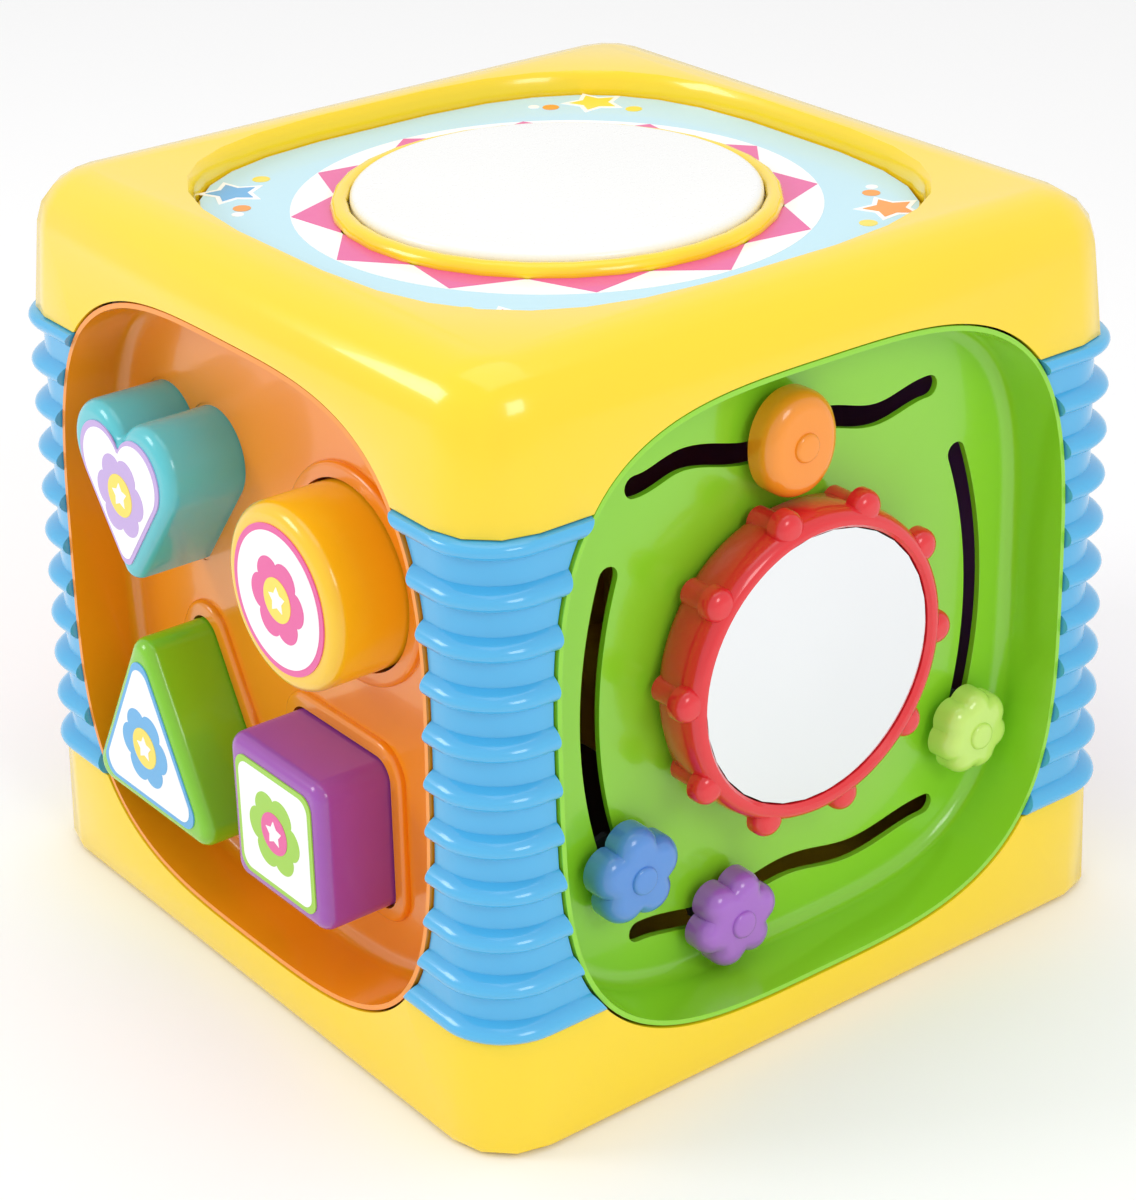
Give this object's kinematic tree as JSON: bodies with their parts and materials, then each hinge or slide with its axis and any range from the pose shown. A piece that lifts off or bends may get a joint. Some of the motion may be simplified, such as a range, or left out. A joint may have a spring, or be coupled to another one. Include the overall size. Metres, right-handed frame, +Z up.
{
  "type": "baby activity cube",
  "caption": "Free-standing play cube with a drum on top, a shape sorter, a turning mirror with slider knobs, meshed gears and a keyboard on its sides.",
  "frame": {"origin": "centre of the footprint, on the surface it stands on", "axes": "+Z up; -Y the shape sorter side; +X the mirror side; +Y the gear side; -X the keyboard side"},
  "size_m": [0.2942, 0.2984, 0.274],
  "materials": {
    "yellow_shell": "glossy moulded ABS",
    "blue_post": "glossy moulded ABS",
    "orange_panel": "glossy moulded ABS",
    "green_panel": "glossy moulded ABS",
    "plum_panel": "glossy moulded ABS",
    "coral_panel": "glossy moulded ABS",
    "red_plastic": "glossy moulded ABS",
    "white_plastic": "glossy moulded ABS",
    "turquoise_plastic": "glossy moulded ABS",
    "sun_plastic": "glossy moulded ABS",
    "lime_plastic": "glossy moulded ABS",
    "violet_plastic": "glossy moulded ABS",
    "amber_plastic": "glossy moulded ABS",
    "azure_plastic": "glossy moulded ABS",
    "lilac_plastic": "glossy moulded ABS",
    "pale_green_plastic": "glossy moulded ABS",
    "mirror_film": "safety mirror",
    "printed_film": "printed film under a gloss coat",
    "dark_plastic": "moulded inner piece",
    "circuit": "fibreglass board",
    "steel": "plated steel"
  },
  "bodies": {
    "cube": {"top_cap": "yellow_shell", "bottom_base": "yellow_shell", "corner_post_back_right": "blue_post", "corner_post_back_left": "blue_post", "corner_post_front_left": "blue_post", "corner_post_front_right": "blue_post", "sorter_panel": "orange_panel", "mirror_panel": "green_panel", "gear_panel": "plum_panel", "keyboard_panel": "coral_panel", "speaker": "dark_plastic", "circuit_board": "circuit", "drum_deck": "yellow_shell", "top_label": "printed_film", "drum_collar": "yellow_shell", "drum_carrier": "white_plastic", "drum_spring": "steel", "battery_tub": "dark_plastic", "battery_door": "yellow_shell", "battery_cell_1": "steel", "battery_cell_2": "steel", "battery_cell_3": "steel", "battery_door_screw": "steel", "case_screw_1": "steel", "case_screw_2": "steel", "case_screw_3": "steel", "case_screw_4": "steel"},
    "drum": {"drum_pad": "white_plastic"},
    "mirror": {"mirror_ring": "red_plastic", "mirror_glass": "mirror_film", "mirror_clip": "dark_plastic"},
    "ladybird_knob": {"ladybird_slider": "amber_plastic", "ladybird_slider_disc": "dark_plastic"},
    "daisy_knob": {"daisy_slider": "azure_plastic", "daisy_slider_disc": "dark_plastic"},
    "blossom_knob": {"blossom_slider": "lilac_plastic", "blossom_slider_disc": "dark_plastic"},
    "shell_knob": {"shell_slider": "pale_green_plastic", "shell_slider_disc": "dark_plastic"},
    "heart_piece": {"heart_block": "turquoise_plastic", "heart_sticker": "printed_film"},
    "round_piece": {"round_block": "sun_plastic", "round_sticker": "printed_film"},
    "triangle_piece": {"triangle_block": "lime_plastic", "triangle_sticker": "printed_film"},
    "square_piece": {"square_block": "violet_plastic", "square_sticker": "printed_film"},
    "large_gear": {"large_gear": "sun_plastic"},
    "small_gear": {"small_gear": "azure_plastic"},
    "middle_gear": {"middle_gear": "lime_plastic"},
    "pinwheel": {"pinwheel": "red_plastic"},
    "key_1": {"piano_key_1": "red_plastic"},
    "key_2": {"piano_key_2": "amber_plastic"},
    "key_3": {"piano_key_3": "sun_plastic"},
    "key_4": {"piano_key_4": "lime_plastic"},
    "key_5": {"piano_key_5": "azure_plastic"},
    "switch": {"power_switch": "azure_plastic"}
  },
  "joints": [
    {"name": "drum_press", "type": "slide", "parent": "cube", "child": "drum", "axis": [0, 0, -1], "range_m": [0, 0.0035], "stiffness_N_per_m": 900, "springref_m": -0.002, "deforming": ["drum_spring"]},
    {"name": "mirror_spin", "type": "hinge", "parent": "cube", "child": "mirror", "pos_m": [0.13, 0, 0.137], "axis": [1, 0, 0], "continuous": true},
    {"name": "top_slider", "type": "slide", "parent": "cube", "child": "ladybird_knob", "axis": [0, 0.9994, -0.035], "range_m": [-0.055, 0.064]},
    {"name": "bottom_slider", "type": "slide", "parent": "cube", "child": "blossom_knob", "axis": [0, 1, 0], "range_m": [-0.024, 0.082]},
    {"name": "left_slider", "type": "hinge", "parent": "cube", "child": "daisy_knob", "pos_m": [0.12, 0.0834, 0.133], "axis": [-1, 0, 0], "range_deg": [0, 36.8]},
    {"name": "right_slider", "type": "hinge", "parent": "cube", "child": "shell_knob", "pos_m": [0.12, -0.0718, 0.127], "axis": [1, 0, 0], "range_deg": [0, 36.8]},
    {"name": "heart_block_pull", "type": "slide", "parent": "cube", "child": "heart_piece", "axis": [0, -1, 0], "range_m": [0, 0.06]},
    {"name": "round_block_pull", "type": "slide", "parent": "cube", "child": "round_piece", "axis": [0, -1, 0], "range_m": [0, 0.06]},
    {"name": "triangle_block_pull", "type": "slide", "parent": "cube", "child": "triangle_piece", "axis": [0, -1, 0], "range_m": [0, 0.06]},
    {"name": "square_block_pull", "type": "slide", "parent": "cube", "child": "square_piece", "axis": [0, -1, 0], "range_m": [0, 0.06]},
    {"name": "large_gear_spin", "type": "hinge", "parent": "cube", "child": "large_gear", "pos_m": [0.042, 0.126, 0.159], "axis": [0, 1, 0], "continuous": true},
    {"name": "small_gear_spin", "type": "hinge", "parent": "cube", "child": "small_gear", "pos_m": [-0.014, 0.126, 0.1375], "axis": [0, 1, 0], "continuous": true},
    {"name": "middle_gear_spin", "type": "hinge", "parent": "cube", "child": "middle_gear", "pos_m": [-0.039, 0.126, 0.0885], "axis": [0, 1, 0], "continuous": true},
    {"name": "pinwheel_spin", "type": "hinge", "parent": "cube", "child": "pinwheel", "pos_m": [0.052, 0.126, 0.083], "axis": [0, 1, 0], "continuous": true},
    {"name": "key_1_press", "type": "slide", "parent": "cube", "child": "key_1", "axis": [1, 0, 0], "range_m": [0, 0.003], "stiffness_N_per_m": 500, "springref_m": -0.0015},
    {"name": "key_2_press", "type": "slide", "parent": "cube", "child": "key_2", "axis": [1, 0, 0], "range_m": [0, 0.003], "stiffness_N_per_m": 500, "springref_m": -0.0015},
    {"name": "key_3_press", "type": "slide", "parent": "cube", "child": "key_3", "axis": [1, 0, 0], "range_m": [0, 0.003], "stiffness_N_per_m": 500, "springref_m": -0.0015},
    {"name": "key_4_press", "type": "slide", "parent": "cube", "child": "key_4", "axis": [1, 0, 0], "range_m": [0, 0.003], "stiffness_N_per_m": 500, "springref_m": -0.0015},
    {"name": "key_5_press", "type": "slide", "parent": "cube", "child": "key_5", "axis": [1, 0, 0], "range_m": [0, 0.003], "stiffness_N_per_m": 500, "springref_m": -0.0015},
    {"name": "power_switch_slide", "type": "slide", "parent": "cube", "child": "switch", "axis": [0, -1, 0], "range_m": [-0.008, 0.008]}
  ],
  "couplings": [
    {"joint": "small_gear_spin", "follows": "large_gear_spin", "ratio": -1.4},
    {"joint": "middle_gear_spin", "follows": "large_gear_spin", "ratio": 1.1667}
  ]
}
